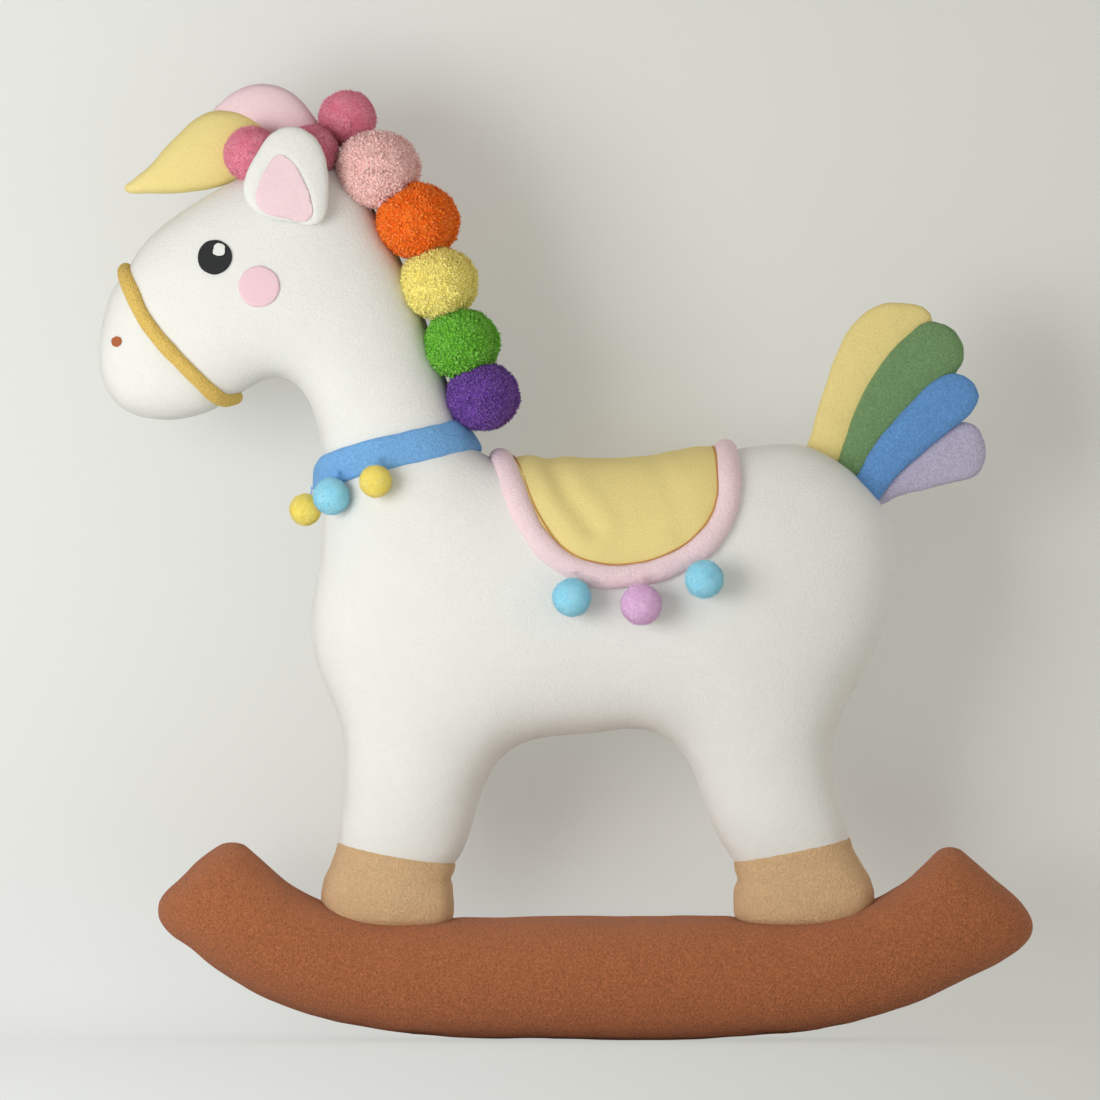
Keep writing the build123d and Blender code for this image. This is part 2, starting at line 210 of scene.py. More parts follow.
def closed_line(points, steps=6):
    """A smooth closed line through points of the XZ plane, as a mesh of edges."""
    curve = bpy.data.curves.new("line", "CURVE")
    curve.dimensions = "3D"
    curve.resolution_u = steps
    spline = curve.splines.new("BEZIER")
    spline.bezier_points.add(len(points) - 1)
    for knot, point in zip(spline.bezier_points, points):
        knot.co = Vector(point) * MM
        knot.handle_left_type = knot.handle_right_type = "AUTO"
    spline.use_cyclic_u = True
    holder = bpy.data.objects.new("line", curve)
    scene.collection.objects.link(holder)
    bpy.context.view_layer.update()
    mesh = bpy.data.meshes.new_from_object(holder.evaluated_get(bpy.context.evaluated_depsgraph_get()))
    bpy.data.objects.remove(holder)
    return mesh


def stuffed_height(bm, cell):
    """How wide the stuffing lies at each point of a flat panel, as the radius of the roundest filling."""
    bm.verts.index_update()
    count = len(bm.verts)
    ends = np.array([[v.index for v in edge.verts] for edge in bm.edges])
    lengths = np.array([edge.calc_length() for edge in bm.edges])
    pull = cell / np.maximum(lengths, cell * 0.1)
    inside = np.array([0.0 if v.is_boundary else 1.0 for v in bm.verts])

    def tension(height):
        flow = pull * (height[ends[:, 0]] - height[ends[:, 1]])
        return (np.bincount(ends[:, 0], flow, count) - np.bincount(ends[:, 1], flow, count)) * inside

    height = np.zeros(count)
    rest = cell * cell * inside
    step = rest.copy()
    energy = rest @ rest
    for _ in range(900):
        answer = tension(step)
        share = energy / (step @ answer)
        height += share * step
        rest -= share * answer
        left = rest @ rest
        if left < 1e-12 * count * cell**4:
            break
        step = rest + step * (left / energy)
        energy = left
    return np.sqrt(np.maximum(0, 2 * height))


def flat_panel(outline):
    """One flat face inside a smooth outline of the XZ plane."""
    bm = bmesh.new()
    bm.from_mesh(closed_line([(x, 0, z) for x, z in outline]))
    bmesh.ops.remove_doubles(bm, verts=bm.verts, dist=0.00002)
    bmesh.ops.contextual_create(bm, geom=bm.edges[:])
    return bm


def cut_across(bm, axis, places):
    """Cuts a flat panel along lines at places on one axis."""
    normal = Vector([1 if index == axis else 0 for index in range(3)])
    for place in places:
        panel = bm.verts[:] + bm.edges[:] + bm.faces[:]
        bmesh.ops.bisect_plane(bm, geom=panel, dist=0.00001, plane_co=normal * place, plane_no=normal)


def sewn(name, outline, cell, fullness, power, voxel):
    """Two panels sewn round an outline and stuffed: thickest where the panel is widest."""
    bm = flat_panel(outline)
    for axis in (0, 2):
        places = [v.co[axis] for v in bm.verts]
        cut_across(bm, axis, np.arange(min(places) + cell * MM / 2, max(places), cell * MM))
    radius = stuffed_height(bm, cell * MM) / MM
    for vert, wide in zip(bm.verts, radius):
        vert.co.y = -fullness * wide**power * MM
    bmesh.ops.mirror(bm, geom=bm.verts[:] + bm.edges[:] + bm.faces[:], axis="Y", merge_dist=0.00001)
    obj = new_object(name, bm)
    remeshed(obj, voxel)
    return obj


BROWN = linear(197, 121, 79)
ROCKER_OUTLINE = [
    (-150, 97.5), (-185, 101), (-214, 109), (-236, 120), (-253, 134), (-266, 145.5), (-274.5, 153),
    (-285.5, 155.5), (-303, 147), (-325, 126), (-340, 112), (-343.5, 100.5), (-338, 87), (-318, 72),
    (-286, 48), (-232, 22), (-173, 8), (-107, 2), (-40, 0), (40, 0), (107, 1.5), (173, 8), (232, 23),
    (282, 44), (319, 63), (336, 76.5), (341.5, 88), (335, 102), (309, 126), (289, 143.5),
    (279.5, 150.8), (270.5, 150.8), (259, 140), (242, 125), (222, 113), (198, 104), (172, 99),
    (140, 97.5), (0, 97),
]
rocker = sewn("rocker", ROCKER_OUTLINE, cell=6, fullness=5.3, power=0.65, voxel=4.5)
relaxed(rocker, 4)
places, outward = points_of(rocker.data), normals_of(rocker.data)
for index, place in enumerate(places):
    soft = noise.noise(Vector(place) * 13) * 1.6 + noise.noise(Vector(place) * 45) * 0.35
    places[index] += outward[index] * soft * MM
places[:, 2] = np.maximum(places[:, 2], 0)
move_points(rocker.data, places)
brown_fleece = fleece("brown fleece", BROWN, relief_shade_and_highlight=0.28, clump=1.6, raised=1.1, sheen=0.35)
dressed(rocker, brown_fleece, "horse", ["rocker_cover", "rocker_filling"])


# The body is white fleece: two equal panels cut to the horse's outline, sewn together round the edge
# and stuffed full, so trunk, neck, head and legs are one rounded skin with a seam on the middle plane.
BODY_OUTLINE = [
    (-389, 534), (-385, 566), (-376, 591), (-364, 608), (-351, 624), (-334, 639), (-310, 655),
    (-276, 674), (-250, 687), (-232, 693), (-213, 690), (-197, 680), (-177, 653), (-160, 624),
    (-146, 593), (-134, 562), (-122, 530), (-111, 501), (-102, 478), (-92, 461), (-78, 453), (-40, 449),
    (2, 447), (42, 450), (80, 456), (127, 463), (160, 464), (186, 453), (207, 437), (223, 417),
    (231, 392), (232, 366), (229, 340), (221, 312), (209, 286), (195, 262), (186, 236), (185, 212),
    (190, 187), (196.5, 162), (197, 142), (187, 128), (150, 124), (114, 128), (103, 143), (94, 157),
    (83.5, 183), (76.5, 205), (66, 225), (52, 236), (33, 242), (2, 239), (-29, 237), (-58, 231),
    (-76, 218), (-88, 197), (-97, 168), (-108, 141), (-121, 128), (-156, 122), (-192, 128), (-203, 146),
    (-202, 166), (-199, 195), (-198, 222), (-202, 250), (-212, 275), (-221, 302), (-224, 326),
    (-220, 355), (-216, 385), (-214, 417), (-216, 456), (-221, 487), (-232, 508), (-250, 517),
    (-268, 510), (-281, 500), (-300, 490), (-321, 484), (-345, 483), (-366, 489), (-380, 502),
    (-387, 518),
]
body = sewn("body", BODY_OUTLINE, cell=6, fullness=2.5, power=0.75, voxel=4.5)
relaxed(body, 6)


def distance_to_line(places, line):
    """Distance of points, seen from the side, from a line of straight pieces, in millimetres."""
    seen = places[:, [0, 2]] / MM
    nearest = np.full(len(seen), 1e9)
    for start, end in zip(line, line[1:]):
        start, run = np.array(start, float), np.subtract(end, start)
        share = np.clip((seen - start) @ run / (run @ run), 0, 1)
        nearest = np.minimum(nearest, np.linalg.norm(seen - start - share[:, None] * run, axis=1))
    return nearest


COLLAR_LINE = [(-224, 439), (-200, 447), (-160, 458), (-120, 467), (-92, 471)]
NOSEBAND_LINE = [(-371, 602), (-352, 563), (-325, 529), (-298, 504), (-282, 498)]
skin_points = points_of(body.data)
outward = normals_of(body.data)
tight = 2.5 * np.exp(-((distance_to_line(skin_points, COLLAR_LINE) / 14) ** 2))
tight += 2.2 * np.exp(-((distance_to_line(skin_points, NOSEBAND_LINE) / 10) ** 2))
for index, place in enumerate(skin_points):
    soft = noise.noise(Vector(place) * 11 + Vector((3, 1, 7))) * 1.3 + noise.noise(Vector(place) * 38) * 0.3
    skin_points[index] += outward[index] * (soft - tight[index]) * MM
move_points(body.data, skin_points)
WHITE = linear(238, 238, 235)
white_fleece = fleece("white fleece", WHITE, relief_shade_and_highlight=0.012, clump=2.2, raised=0.3, sheen=0.1)
covers = [
    f"{form}_{layer}"
    for form in ("trunk", "neck", "head", "front_leg", "rear_leg")
    for layer in ("cover", "filling")
]
dressed(body, white_fleece, "horse", covers)
bpy.context.view_layer.update()
skin = BVHTree.FromObject(body, bpy.context.evaluated_depsgraph_get())


# The hooves are caps of tan fleece sewn round the foot of each pair of legs. They are stuffed with
# the leg, bulge over the rocker's top and are sewn down to it round their soles.
def drawn_through(rings, closed=False):
    """A skin laid through rings of points; open ends are closed with a face."""
    count = len(rings[0])
    rows = rings + rings[:1] if closed else rings
    bm = bmesh.new()
    bmesh.ops.create_grid(bm, x_segments=count, y_segments=len(rows) - 1, size=1)
    bm.verts.ensure_lookup_table()
    for row, ring in enumerate(rows):
        for column in range(count + 1):
            bm.verts[row * (count + 1) + column].co = ring[column % count]
    bmesh.ops.remove_doubles(bm, verts=bm.verts, dist=0.000005)
    if not closed:
        bmesh.ops.holes_fill(bm, edges=[edge for edge in bm.edges if edge.is_boundary])
    return bm


TAN = linear(232, 193, 148)
tan_fleece = fleece("tan fleece", TAN, relief_shade_and_highlight=0.11, clump=1.7, raised=1.1, sheen=0.3)
HOOF_RINGS = [
    (84, 0.8, 3, 0), (90, 0.95, 4, 0), (93, 1.04, 5, 0), (96.5, 1.09, 5.5, 0), (101, 1.11, 6, 0),
    (107, 1.13, 7, 0), (115, 1.13, 7.5, 0.1), (124, 1.1, 6.3, 0.25), (133, 1.05, 3.5, 0.55),
    (140, 1.02, 1, 0.85), (147, 1.01, 0, 1), (148, 0.97, 0, 1),
]
HOOVES = [("front", -156, -1, 1, 5, 0), ("rear", 150, 1, 1.75, 1.5, 2.5)]
HOOF_SIDES, SEAM_HEIGHT, SEAM_SLOPE = 64, 147, 0.185
LEG_HALF_LENGTH, LEG_HALF_WIDTH = 46, 42
for name, middle, away, flare, dip, higher in HOOVES:
    leg = []
    for turn in range(HOOF_SIDES):
        angle = turn * math.tau / HOOF_SIDES
        aim = Vector((math.cos(angle), math.sin(angle), 0))
        start = Vector((middle, 0, SEAM_HEIGHT + away * SEAM_SLOPE * LEG_HALF_LENGTH * aim.x)) * MM
        leg.append((skin.ray_cast(start + aim * 0.12, -aim)[0] - start) / MM)
    rings = []
    for height, share, shift, tilt in HOOF_RINGS:
        ring = []
        for reach in leg:
            lean = away * SEAM_SLOPE * reach.x
            rise = height + tilt * (higher + lean - dip * (reach.y / LEG_HALF_WIDTH) ** 2)
            wide = 1 + (share - 1) * (flare if share > 1 else 1)
            deep = share * (1 + 0.5 * (1 - tilt) * (reach.x / 48) ** 4)
            x = middle + away * shift * flare**0.4 + reach.x * wide
            ring.append(Vector((x, reach.y * deep, rise)) * MM)
        rings.append(ring)
    hoof = new_object(f"{name}_hoof", drawn_through(rings))
    remeshed(hoof, 2.4)
    relaxed(hoof, 2)
    places, outward = points_of(hoof.data), normals_of(hoof.data)
    for index, place in enumerate(places):
        x, y, z = place / MM
        inner = max(0, -away * (x - middle) / 50)
        fold = -2.4 * inner * math.exp(-(((z - 126 - 0.1 * y) / 4) ** 2))
        fold += noise.noise(Vector((x * 0.03, y * 0.03, z * 0.09))) * 0.7
        near_top = min(1, max(0, (146 + away * SEAM_SLOPE * (x - middle) - z) / 12))
        places[index] += outward[index] * fold * near_top * MM
    move_points(hoof.data, places)
    dressed(hoof, tan_fleece, "horse", [f"{name}_hoof_cover"])
    sole = [(place.x / MM, place.y / MM) for place in rings[2]]
    places = points_of(rocker.data)
    seam = distance_to_line(places[:, [0, 2, 1]], sole + sole[:1])
    places[:, 2] -= np.where(places[:, 2] > 0.08, 1.4 * np.exp(-((seam / 4) ** 2)), 0) * MM
    move_points(rocker.data, places)


# The saddle is a pad of pale yellow fleece laid over the back, with a stuffed roll of pale pink fleece
# bound round its edge. A line of orange-brown thread holds the pad inside the roll.
SADDLE_EDGE = [
    (-74, 459), (-66, 431), (-52, 399), (-31, 375), (-3, 362.5), (26, 362), (57, 370), (83, 386),
    (99, 411), (102, 438), (98, 470),
]
SADDLE_SEAM = [
    (-65, 460), (-57, 433), (-44, 404), (-25, 381), (0, 371), (26, 370.5), (54, 378), (77, 393),
    (91, 415), (93, 440), (89, 468),
]


def inside_outline(places, outline):
    """Which points, seen from the side, lie inside an outline."""
    x, z = places[:, 0] / MM, places[:, 2] / MM
    inside = np.zeros(len(places), bool)
    for (x0, z0), (x1, z1) in zip(outline, outline[1:] + outline[:1]):
        if z0 != z1:
            crossing = x0 + (z - z0) * (x1 - x0) / (z1 - z0)
            inside ^= ((z0 > z) != (z1 > z)) & (x < crossing)
    return inside


bm = bmesh.new()
bm.from_mesh(body.data)
bmesh.ops.subdivide_edges(bm, edges=bm.edges[:], cuts=1, use_grid_fill=True)
centres = np.array([face.calc_center_median() for face in bm.faces])
over_back = SADDLE_EDGE + [(98, 500), (-74, 500)]
keep = inside_outline(centres, over_back)
bmesh.ops.delete(bm, geom=[face for face, kept in zip(bm.faces, keep) if not kept], context="FACES")
bm.normal_update()
places = np.array([v.co for v in bm.verts])
rim = distance_to_line(places, SADDLE_EDGE)
FRONT_FOLD = [(-42, 452), (-24, 420), (-4, 396)]
REAR_DENT = [(40, 452), (62, 418), (66, 396)]
folds, dents = distance_to_line(places, FRONT_FOLD), distance_to_line(places, REAR_DENT)
for vert, edge, fold, dent in zip(bm.verts, rim, folds, dents):
    lift = 2.5 + 5.0 * min(1, edge / 22) ** 0.6
    lift -= 2.0 * math.exp(-((fold / 7) ** 2)) - 1.2 * math.exp(-(((fold - 14) / 8) ** 2))
    lift -= 1.2 * math.exp(-((dent / 9) ** 2))
    lift += noise.noise(vert.co * 26) * 1.2
    vert.co += vert.normal * lift * MM
smooth(bm, 2)
bm.normal_update()
bmesh.ops.solidify(bm, geom=bm.faces[:], thickness=0.003)
saddle_pad = new_object("saddle_pad", bm)
YELLOW = linear(242, 223, 150)
yellow_fleece = fleece("pale yellow fleece", YELLOW, relief_shade_and_highlight=0.03, clump=1.6, raised=0.3)
dressed(saddle_pad, yellow_fleece, "horse", ["saddle_pad"], rounds=0)


def loop_on_body(near, steps=10):
    """A closed line round the body through near-side points and their mirror images, with its normals."""
    knots = []
    for x, z in near[1:-1]:
        hit = skin.ray_cast(Vector((x * MM, -1, z * MM)), Vector((0, 1, 0)))[0]
        knots.append((x, hit.y / MM, z))
    far = [(x, -y, z) for x, y, z in reversed(knots)]
    first, last = (near[0][0], 0, near[0][1]), (near[-1][0], 0, near[-1][1])
    line = closed_line([first, *knots, last, *far], steps)
    spots = [skin.find_nearest(v.co) for v in line.vertices]
    places = np.array([spot[0] for spot in spots])
    outward = np.array([spot[1] for spot in spots])
    for _ in range(6):
        outward = outward + np.roll(outward, 1, 0) + np.roll(outward, -1, 0)
        outward /= np.linalg.norm(outward, axis=1, keepdims=True)
        places = (places * 2 + np.roll(places, 1, 0) + np.roll(places, -1, 0)) / 4
    return places, outward


def squared(value, squareness):
    """A sine or cosine pushed outwards, so that a round section turns squarer."""
    return math.copysign(abs(value) ** (2 / squareness), value)


def roll(name, places, outward, half_width, half_height, lift, squareness=2.0, ripple=0.0, sides=16):
    """A stuffed roll along a closed line on the body."""
    along = np.roll(places, -1, 0) - np.roll(places, 1, 0)
    across = np.cross(along, outward)
    across /= np.linalg.norm(across, axis=1, keepdims=True)
    rings = []
    for place, out, side, rise in zip(places, outward, across, np.broadcast_to(lift, len(places))):
        ring = []
        swell = 1 + ripple * noise.noise(Vector(place) * 70)
        for turn in range(sides):
            angle = turn * math.tau / sides
            u = squared(math.cos(angle), squareness) * half_width * swell
            v = squared(math.sin(angle), squareness) * half_height * swell
            ring.append(Vector(place + side * u * MM + out * (v + rise) * MM))
        rings.append(ring)
    return new_object(name, drawn_through(rings, closed=True))


# Painted light: the binding's pale pink is lighter than the pale pink fleece elsewhere, to offset the shade
# on its underside.
LIT_BINDING_PINK = linear(250, 223, 229)
lit_binding_fleece = fleece("binding fleece", LIT_BINDING_PINK, relief_shade_and_highlight=0.03, clump=2.2, raised=0.6)
binding = roll(
    "saddle_binding", *loop_on_body(SADDLE_EDGE), half_width=9.3, half_height=8, lift=2.5, ripple=0.12
)
dressed(binding, lit_binding_fleece, "horse", ["saddle_binding"])
stitch_thread = matt("saddle thread", linear(206, 146, 84), 0.1)[0]
stitching = roll(
    "saddle_stitching", *loop_on_body(SADDLE_SEAM), half_width=0.5, half_height=0.5, lift=6.4, sides=6
)
dressed(stitching, stitch_thread, "horse", rounds=0)


# The collar is a soft band of nubby blue fleece, sewn round the foot of the neck. The noseband is a
# thinner roll of mustard fleece, pulled snug round the muzzle from the forehead to the jaw.
BLUE = linear(134, 194, 255)
blue_fleece = fleece("blue fleece", BLUE, relief_shade_and_highlight=0.14, clump=1.9, raised=1.0)
COLLAR_LOOP = [(-216, 437.3), (-205, 444.3), (-180, 453), (-150, 460), (-120, 467), (-104, 470), (-96, 470)]
collar_line, collar_out = loop_on_body(COLLAR_LOOP)
proud = 2.2 + 6.2 * np.exp(-(((collar_line[:, 0] / MM + 217) / 9) ** 2))
collar = roll("collar", collar_line, collar_out, 12.8, 4.6, proud, squareness=2.7, ripple=0.1, sides=24)
dressed(collar, blue_fleece, "horse", ["collar"])
MUSTARD = linear(242, 205, 112)
mustard_fleece = fleece("mustard fleece", MUSTARD, relief_shade_and_highlight=0.12, raised=1.0, nubs=2.0)
NOSEBAND_LOOP = [
    (-369, 601), (-362, 585), (-352, 563), (-338, 544), (-322, 527), (-305, 510), (-292, 500),
    (-281, 500),
]
noseband = roll(
    "noseband", *loop_on_body(NOSEBAND_LOOP), half_width=6.0, half_height=5.2, lift=1.8, ripple=0.12
)
dressed(noseband, mustard_fleece, "horse", ["noseband"])


# The face is cut from felt and sewn flat to the head: black eyes with a white highlight, pink cheeks
# and small brown nostrils, the same on both sides. The discs are cut by hand, so not quite round.
def felt(name, colour, felt_shade_and_highlight):
    """Pressed felt: short tangled fibres, nearly flat, with a little painted shade between them and a
    painted highlight on their tips.
    """
    return fleece(name, colour, relief_shade_and_highlight=felt_shade_and_highlight, clump=0.9, raised=0.25)


def felt_discs(name, centre, radius, thickness, base, material, uneven, seed):
    """A disc of felt on each side of the head, following its surface."""
    profile = [(1, -1.5), (1, thickness * 0.55), (0.965, thickness * 0.9)]
    profile += [(share, thickness) for share in (0.9, 0.5, 0.08)]
    bm = bmesh.new()
    for side in (-1, 1):
        rings = []
        for share, height in profile:
            ring = []
            for turn in range(40):
                angle = turn * math.tau / 40
                spot = Vector((math.cos(angle), math.sin(angle), seed))
                reach = radius * share * (1 + uneven * noise.noise(spot * 1.7))
                x, z = (centre[0] + reach * spot.x) * MM, (centre[1] + reach * spot.y) * MM
                hit = skin.ray_cast(Vector((x, side, z)), Vector((0, -side, 0)))[0]
                ring.append(hit + Vector((0, side, 0)) * (height + base) * MM)
            rings.append(ring)
        disc = drawn_through(rings)
        made = bpy.data.meshes.new(name)
        disc.to_mesh(made)
        disc.free()
        bm.from_mesh(made)
    return dressed(new_object(name, bm), material, "horse", [name])


FACE = [
    ("eyes", (-296.4, 608.8), 13.6, 2.0, 0, "black_felt", linear(54, 55, 57), 0.12, 0.05, 3),
    ("eye_highlights", (-293, 614.8), 5, 1.2, 2.0, "white_felt", linear(240, 240, 238), 0.02, 0.22, 8),
    ("cheeks", (-262, 585.8), 16, 2.4, 0, "pink_felt", linear(248, 212, 222), 0.02, 0.03, 5),
    ("nostrils", (-373.4, 543.9), 4.2, 1.4, 0, "brown_felt", linear(186, 106, 70), 0.1, 0.1, 4),
]
for name, centre, radius, thickness, base, slot, tone, felt_shade_and_highlight, uneven, seed in FACE:
    cloth = felt(slot.replace("_", " "), tone, felt_shade_and_highlight)
    felt_discs(name, centre, radius, thickness, base, cloth, uneven, seed)


# The mane is a row of yarn pompoms down each side of the crest, pink at the poll and then orange,
# yellow, green and purple. Each is a ball of cut yarn tied at its heart and sewn on.
GOLDEN_TURN = 2.39996


def tuft(kind):
    """One end of yarn, blunt and round, or one fine tapered fibre, pointing up."""
    bm = bmesh.new()
    if kind == "yarn":
        bmesh.ops.create_icosphere(bm, subdivisions=1, radius=1)
    else:
        bmesh.ops.create_cone(bm, segments=3, radius1=1, radius2=0.25, depth=2)
    mesh = bpy.data.meshes.new("tuft")
    bm.to_mesh(mesh)
    bm.free()
    return mesh


def pile_ball(core, layers, lumps, seed):
    """A ball of radius 1 covered with tufts; pile runs from 0 at their roots to 1 at their tips."""
    chance = random.Random(seed)
    bm = bmesh.new()
    bmesh.ops.create_icosphere(bm, subdivisions=5, radius=core)
    tones = [0.5] * len(bm.verts)
    for kind, count, wide, long, reach, uneven, stray in layers:
        mesh = tuft(kind)
        for index in range(count):
            up = 1 - 2 * (index + 0.5) / count
            flat = math.sqrt(1 - up * up)
            turn = index * GOLDEN_TURN
            aim = Vector((flat * math.cos(turn), flat * math.sin(turn), up))
            aim = (aim + Vector([chance.gauss(0, 0.025) for _ in range(3)])).normalized()
            lean = (aim + Vector([chance.gauss(0, stray) for _ in range(3)])).to_track_quat("Z", "Y")
            size = wide * chance.uniform(0.8, 1.25)
            stretch = Matrix.Diagonal((size, size, long * chance.uniform(0.8, 1.2), 1))
            clump = uneven * 2.5 * noise.noise(aim * 5 + Vector((0, seed, 0)))
            spot = Matrix.Translation(aim * (reach + clump + chance.gauss(0, uneven)))
            matrix = spot @ lean.to_matrix().to_4x4() @ stretch
            first = len(bm.verts)
            bm.from_mesh(mesh)
            bm.verts.ensure_lookup_table()
            for vert in bm.verts[first:]:
                vert.co = matrix @ vert.co
            tones += [chance.random()] * len(mesh.vertices)
    for vert in bm.verts:
        vert.co *= 1 + lumps * noise.noise(vert.co * 2.2 + Vector((seed, 0, 0)))
    mesh = bpy.data.meshes.new("pile ball")
    bm.to_mesh(mesh)
    bm.free()
    away = np.linalg.norm(points_of(mesh), axis=1)
    depth = np.clip((away - core + 0.03) / (1.03 - core), 0, 1)
    for name, values in (("pile", depth), ("shade", tones)):
        layer = mesh.attributes.new(name, "FLOAT", "POINT")
        layer.data.foreach_set("value", np.asarray(values, np.float32))
    return mesh


def yarn(name, colour, sheen=0.4, depth=0.95, tip_highlight=0.08, fleck=0.97, raised=0.2, grain=0.67):
    """Cut yarn: painted shade deepens the colour between the ends, towards their roots; each end is paler
    by its own random share of a painted tip highlight.
    """
    material, tree, shader = matt(name, colour, sheen)
    pile, shade = tree.nodes.new("ShaderNodeAttribute"), tree.nodes.new("ShaderNodeAttribute")
    pile.attribute_name, shade.attribute_name = "pile", "shade"
    place = tree.nodes.new("ShaderNodeTexCoord").outputs["Object"]
    fibre = node(tree, "TexNoise", Scale=1000 / grain, Detail=2.0)
    tree.links.new(place, fibre.inputs["Vector"])
    # Each tuft's end gets its own random tone, up to paler by the painted tip highlight.
    ends = mixed(tree, shade.outputs["Fac"], shaded(colour, 0.92), [c + (1 - c) * tip_highlight for c in colour])
    flecked = mixed(tree, spread(tree, fibre.outputs["Fac"], 0.36, 0.6), shaded(colour, fleck), ends)
    # Painted shade: towards the roots of the tufts the colour is darker and deeper.
    tone = mixed(tree, pile.outputs["Fac"], shaded([c**1.25 for c in colour], depth), flecked)
    tree.links.new(tone, shader.inputs["Base Color"])
    bump = node(tree, "Bump", Strength=0.6, Distance=raised * MM)
    tree.links.new(fibre.outputs["Fac"], bump.inputs["Height"])
    tree.links.new(bump.outputs["Normal"], shader.inputs["Normal"])
    return material


def joined_copies(name, mesh, spots, seed):
    """Copies of a ball at centres and radii, each turned its own way, as one object."""
    chance = random.Random(seed)
    bm = bmesh.new()
    for centre, radius in spots:
        copy = mesh.copy()
        axis = Vector([chance.gauss(0, 1) for _ in range(3)])
        turned = Matrix.Rotation(chance.uniform(0, math.tau), 4, axis)
        copy.transform(Matrix.Translation(Vector(centre) * MM) @ Matrix.Scale(radius * MM, 4) @ turned)
        bm.from_mesh(copy)
    mesh = bpy.data.meshes.new(name)
    bm.to_mesh(mesh)
    bm.free()
    obj = bpy.data.objects.new(name, mesh)
    scene.collection.objects.link(obj)
    return obj


fine_yarn = pile_ball(
    0.965,
    [("yarn", 2000, 0.042, 0.088, 0.945, 0.018, 0.3), ("fibre", 3400, 0.02, 0.08, 0.97, 0.02, 0.5)],
    lumps=0.04,
    seed=11,
)
coarse_yarn = pile_ball(
    0.96,
    [("yarn", 1300, 0.053, 0.098, 0.938, 0.02, 0.3), ("fibre", 2400, 0.022, 0.085, 0.965, 0.02, 0.5)],
    lumps=0.04,
    seed=12,
)
MANE_OUT = 25
MANE = [
    ("pink", (-173, 678), 29.5, linear(254, 214, 210), fine_yarn),
    ("orange", (-142.5, 638), 29, linear(255, 132, 22), fine_yarn),
    ("yellow", (-126, 589.5), 27.5, linear(255, 242, 146), fine_yarn),
    ("green", (-108, 542.5), 26.5, linear(118, 193, 60), coarse_yarn),
    ("purple", (-91.5, 501), 25.5, linear(125, 80, 175), fine_yarn),
]
for number, (colour, (x, z), radius, tone, ball) in enumerate(MANE):
    spots = [((x, -MANE_OUT, z), radius), ((x + 5, MANE_OUT, z + 1), radius)]
    name = f"mane_pompoms_{colour}"
    pompoms = joined_copies(name, ball, spots, number)
    # The yarn's colour carries painted shade at the tuft roots and a slight painted highlight on the ends.
    dressed(pompoms, yarn(f"{colour} yarn", tone), "horse", [name], rounds=0)


# The crown is five velvety dark pink pompoms: a pair in front of the ears, a pair behind them and one
# on top. Their pile is fine and dense, so they look smooth, with painted shade at its roots; their
# frosted edge comes from the shader's sheen and a painted highlight on the fibre tips.
velvet = pile_ball(
    0.97,
    [("fibre", 5000, 0.02, 0.055, 0.972, 0.012, 0.5), ("fibre", 700, 0.009, 0.06, 1.0, 0.012, 0.35)],
    lumps=0.03,
    seed=21,
)
DARK_PINK = linear(252, 145, 174)
dark_pink_pile = yarn(
    "dark pink pile", DARK_PINK, sheen=1.0, depth=0.85, tip_highlight=0.55, fleck=0.8, raised=0.2, grain=1.5
)
CROWN = [
    ("crown_pompoms_front", [((-269, -22, 690), 21.5), ((-269, 22, 690), 21.5)]),
    ("crown_pompoms_rear", [((-223, -22, 691), 21.5), ((-223, 22, 691), 21.5)]),
    ("crown_pompom_top", [((-195, 0, 718), 22.5)]),
]
for number, (name, spots) in enumerate(CROWN):
    crown = joined_copies(name, velvet, spots, 30 + number)
    dressed(crown, dark_pink_pile, "horse", [name], rounds=0)


# The forelock is two stuffed petals sewn between the crown pompoms: a pale yellow one with a long
# point lies forward over the forehead, and a soft pale pink one rises behind it.
FORELOCK_YELLOW = [
    (-370, 663), (-362, 671), (-349, 682), (-336, 697), (-325, 708), (-314, 718), (-302, 724),
    (-288, 725), (-272, 721), (-256, 708), (-250, 694), (-262, 680), (-278, 672), (-292, 666),
    (-310, 662), (-330, 660), (-350, 660), (-364, 660),
]
forelock_yellow = sewn("forelock_yellow", FORELOCK_YELLOW, cell=2.5, fullness=1.9, power=0.72, voxel=2)
relaxed(forelock_yellow, 3)
dressed(forelock_yellow, yellow_fleece, "horse", ["forelock_yellow"])
PINK = linear(245, 216, 223)
pink_fleece = fleece("pale pink fleece", PINK, relief_shade_and_highlight=0.02, clump=1.6, raised=0.25)
FORELOCK_PINK = [
    (-300, 724), (-293, 732), (-283, 740), (-271, 745), (-257, 746), (-245, 743), (-235, 737),
    (-224, 725), (-216, 710), (-222, 697), (-245, 694), (-272, 702), (-290, 714),
]
forelock_pink = sewn("forelock_pink", FORELOCK_PINK, cell=2.5, fullness=1.7, power=0.72, voxel=2)
relaxed(forelock_pink, 3)
forelock_pink.data.transform(Matrix.Translation((0, 6 * MM, 0)))
dressed(forelock_pink, pink_fleece, "horse", ["forelock_pink"])


# Each ear is an egg-shaped stuffed pad of white fleece with a pale pink lining let into its outer
# face. It is sewn to the head along its foot only, so it can flop outwards.
EAR_BASE, EAR_OUT, EAR_LEAN = (-239, 641), 62, 6
EAR_OUTLINE = [
    (3, 70), (-12, 65.5), (-26, 47), (-34, 30), (-35.5, 19), (-31, 7.5), (-19, -1), (2, -5.5),
    (22, -7.5), (28.5, -2), (31, 13), (31, 30), (27.5, 49), (18.5, 63),
]
LINING_OUTLINE = [
    (-7.5, 46), (-17, 36), (-23.5, 21), (-25, 10), (-20, 2.5), (-2, -3), (12, -5.5), (17.5, -2),
    (17.5, 10), (10.5, 28.5), (2, 41),
]


